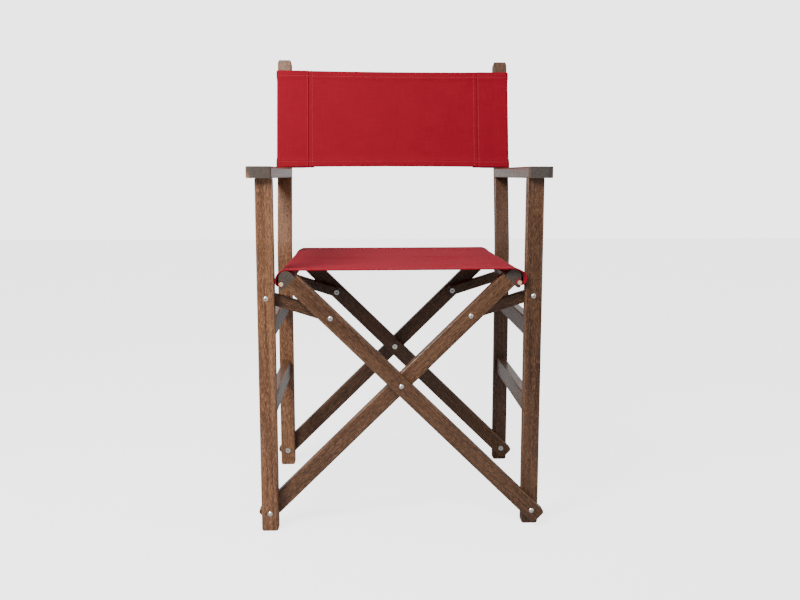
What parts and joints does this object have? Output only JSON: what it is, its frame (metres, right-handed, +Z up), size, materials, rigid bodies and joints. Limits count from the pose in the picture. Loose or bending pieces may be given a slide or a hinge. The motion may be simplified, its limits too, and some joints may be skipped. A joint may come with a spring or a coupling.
{
  "type": "director chair",
  "caption": "Folding director chair: two wooden side frames with armrests on crossed legs that fold sideways, with a slung canvas seat and back.",
  "frame": {"origin": "on the floor under the middle of the chair's outline", "axes": "+Z up, -Y towards the front of the chair, +X to the right seen from the front"},
  "size_m": [0.524, 0.5008, 0.87],
  "materials": {
    "frame_wood": "dark walnut stain under satin lacquer",
    "dowel_wood": "bare pale wood",
    "red_canvas": "woven cotton canvas, red",
    "nickel": "nickel-plated steel",
    "nylon": "thin natural nylon"
  },
  "bodies": {
    "left_frame": {"left_front_post": "frame_wood", "left_rear_post": "frame_wood", "left_upper_side_rail": "frame_wood", "left_lower_side_rail": "frame_wood", "left_armrest": "frame_wood", "left_arm_dowel": "dowel_wood", "left_arm_screw": "nickel", "left_post_bolts": "nickel", "left_post_nuts": "nickel", "left_post_washers": "nylon", "left_back_sleeve": "red_canvas", "back_panel": "red_canvas"},
    "right_rail_legs": {"right_rail_front_leg": "frame_wood", "right_rail_rear_leg": "frame_wood", "right_seat_rail": "frame_wood", "right_seat_dowel": "dowel_wood", "right_link_screws": "nickel", "right_link_washers": "nylon"},
    "left_rail_legs": {"left_rail_front_leg": "frame_wood", "left_rail_rear_leg": "frame_wood", "left_seat_rail": "frame_wood", "left_seat_dowel": "dowel_wood", "left_link_screws": "nickel", "left_link_washers": "nylon", "cross_bolts": "nickel", "cross_nuts": "nickel", "cross_washers": "nylon", "seat_sling": "red_canvas"},
    "right_frame": {"right_front_post": "frame_wood", "right_rear_post": "frame_wood", "right_upper_side_rail": "frame_wood", "right_lower_side_rail": "frame_wood", "right_armrest": "frame_wood", "right_arm_dowel": "dowel_wood", "right_arm_screw": "nickel", "right_post_bolts": "nickel", "right_post_nuts": "nickel", "right_post_washers": "nylon", "right_back_sleeve": "red_canvas"},
    "left_links": {"left_front_link": "frame_wood", "left_rear_link": "frame_wood", "left_link_nuts": "nickel"},
    "right_links": {"right_front_link": "frame_wood", "right_rear_link": "frame_wood", "right_link_nuts": "nickel"}
  },
  "joints": [
    {"name": "fold", "type": "hinge", "parent": "left_frame", "child": "right_rail_legs", "pos_m": [-0.233, 0, 0.031], "axis": [0, -1, 0], "range_deg": [0, 28.44], "deforming": ["back_panel"]},
    {"name": "leg_crossing", "type": "hinge", "parent": "right_rail_legs", "child": "left_rail_legs", "pos_m": [0, 0, 0.26], "axis": [0, -1, 0], "range_deg": [-63.04, 0.05], "deforming": ["seat_sling"]},
    {"name": "right_foot_pivot", "type": "hinge", "parent": "left_rail_legs", "child": "right_frame", "pos_m": [0.233, 0, 0.031], "axis": [0, -1, 0], "range_deg": [-0.05, 28.49]},
    {"name": "left_link_pivot", "type": "hinge", "parent": "left_frame", "child": "left_links", "pos_m": [-0.233, 0, 0.416], "axis": [0, -1, 0], "range_deg": [-0.05, 74.63]},
    {"name": "right_link_pivot", "type": "hinge", "parent": "right_frame", "child": "right_links", "pos_m": [0.233, 0, 0.416], "axis": [0, -1, 0], "range_deg": [-74.63, 0.05]}
  ],
  "couplings": [
    {"joint": "leg_crossing", "follows": "fold", "ratio": -2.2147},
    {"joint": "right_foot_pivot", "follows": "fold", "ratio": 1},
    {"joint": "left_link_pivot", "follows": "fold", "ratio": 2.6224},
    {"joint": "right_link_pivot", "follows": "fold", "ratio": -2.6224}
  ]
}
